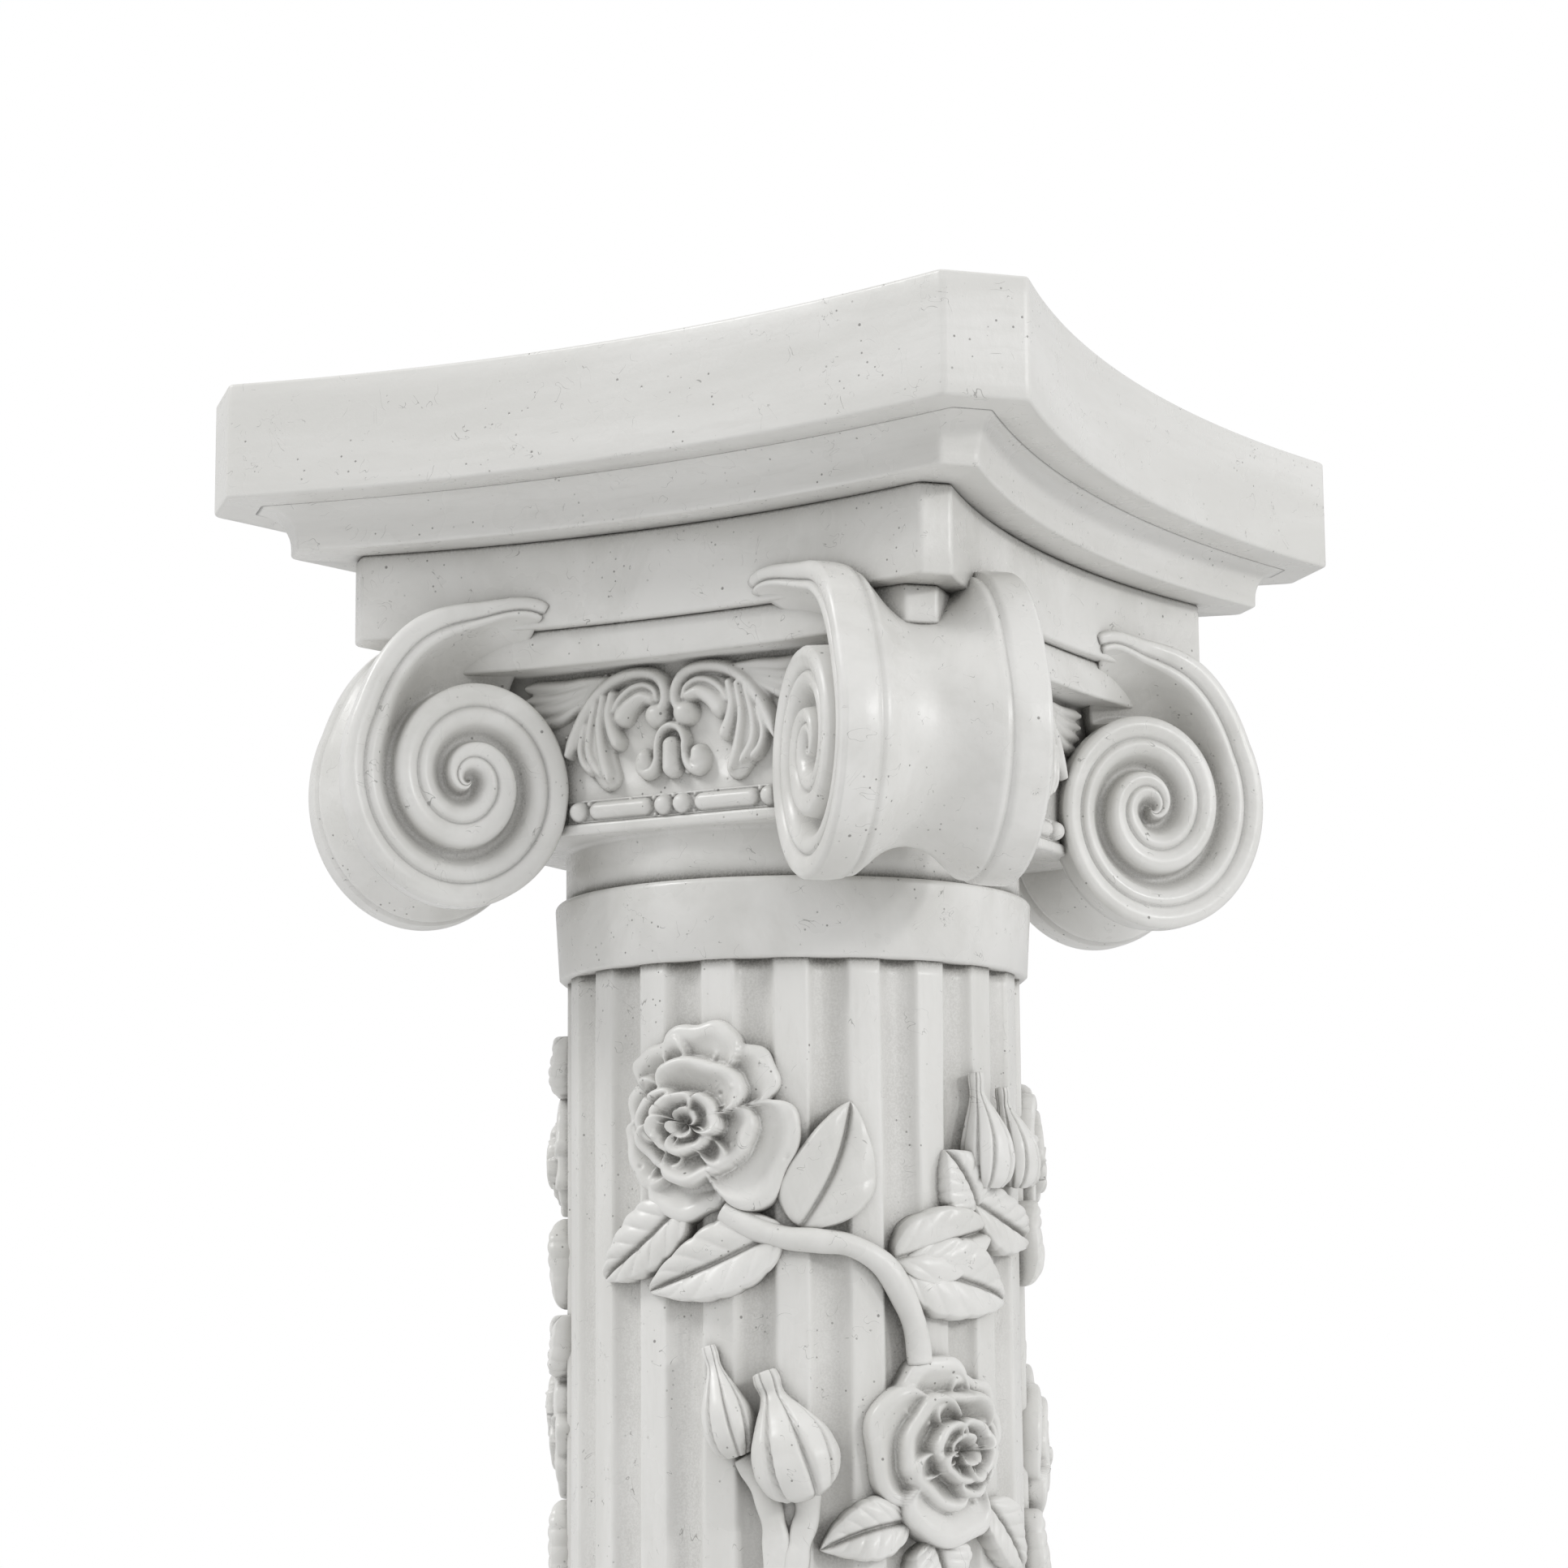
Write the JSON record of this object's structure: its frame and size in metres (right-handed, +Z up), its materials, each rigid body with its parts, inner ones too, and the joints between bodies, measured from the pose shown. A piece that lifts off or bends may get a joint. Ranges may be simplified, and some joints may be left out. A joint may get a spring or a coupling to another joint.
{
  "type": "pedestal column stand",
  "caption": "Fluted column pedestal with a concave-sided square top, diagonal volutes, rose sprays on the shaft and a square base.",
  "frame": {"origin": "centre of the footprint on the floor", "axes": "+Z up along the column, -Y out of the front face, +X to the right"},
  "size_m": [0.28, 0.28, 0.7],
  "materials": {
    "cast_resin": "satin",
    "zinc_steel": "satin",
    "fibreboard": "matt",
    "rubber_pad": "matt"
  },
  "bodies": {
    "root": {"abacus_slab": "cast_resin", "acanthus_back": "cast_resin", "acanthus_front": "cast_resin", "acanthus_left": "cast_resin", "acanthus_right": "cast_resin", "base_board": "fibreboard", "base_moulding": "cast_resin", "bead_row_back": "cast_resin", "bead_row_front": "cast_resin", "bead_row_left": "cast_resin", "bead_row_right": "cast_resin", "bud_stems_back": "cast_resin", "bud_stems_back_foot": "cast_resin", "bud_stems_front": "cast_resin", "bud_stems_front_foot": "cast_resin", "capital_bell": "cast_resin", "capital_block": "cast_resin", "cavetto_course": "cast_resin", "collar_band": "cast_resin", "fluted_shaft": "cast_resin", "foot_pads": "rubber_pad", "plinth": "cast_resin", "rod_plate": "fibreboard", "rose_back_foot_lower": "cast_resin", "rose_back_foot_upper": "cast_resin", "rose_back_lower": "cast_resin", "rose_back_upper": "cast_resin", "rose_buds_back": "cast_resin", "rose_buds_back_foot": "cast_resin", "rose_buds_front": "cast_resin", "rose_buds_front_foot": "cast_resin", "rose_front_foot_lower": "cast_resin", "rose_front_foot_upper": "cast_resin", "rose_front_lower": "cast_resin", "rose_front_upper": "cast_resin", "rose_leaves_back": "cast_resin", "rose_leaves_back_foot": "cast_resin", "rose_leaves_front": "cast_resin", "rose_leaves_front_foot": "cast_resin", "rose_leaves_left": "cast_resin", "rose_leaves_right": "cast_resin", "rose_left_foot": "cast_resin", "rose_left_lower": "cast_resin", "rose_left_upper": "cast_resin", "rose_right_foot": "cast_resin", "rose_right_lower": "cast_resin", "rose_right_upper": "cast_resin", "rose_stem_back": "cast_resin", "rose_stem_back_foot": "cast_resin", "rose_stem_front": "cast_resin", "rose_stem_front_foot": "cast_resin", "tie_rod": "zinc_steel", "tie_rod_nuts": "zinc_steel", "tie_rod_washers": "zinc_steel", "volute_back_left": "cast_resin", "volute_back_right": "cast_resin", "volute_front_left": "cast_resin", "volute_front_right": "cast_resin"}
  },
  "joints": []
}
